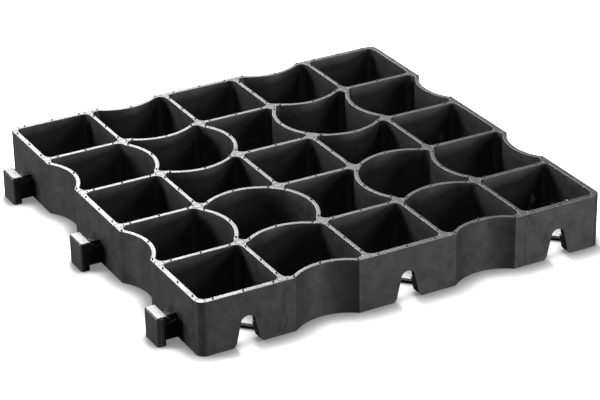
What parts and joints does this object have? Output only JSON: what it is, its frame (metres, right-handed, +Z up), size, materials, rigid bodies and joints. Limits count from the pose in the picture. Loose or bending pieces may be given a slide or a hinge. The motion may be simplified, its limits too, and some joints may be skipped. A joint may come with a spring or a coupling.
{
  "type": "grass paver grid",
  "caption": "Flat square black plastic ground grid of open cells with straight and bowed walls, T-shaped connector tabs and matching edge slots, for reinforcing grass or gravel.",
  "frame": {"origin": "middle of the grid's underside, on the ground", "axes": "+X along the slotted front edge, towards the slotted right edge; +Y towards the tabbed back edge; +Z up, out of the open top"},
  "size_m": [0.3487, 0.3487, 0.043],
  "materials": {
    "recycled_plastic": "black recycled polyethylene, moulded, satin"
  },
  "bodies": {
    "root": {"paver_grid": "recycled_plastic"}
  },
  "joints": []
}
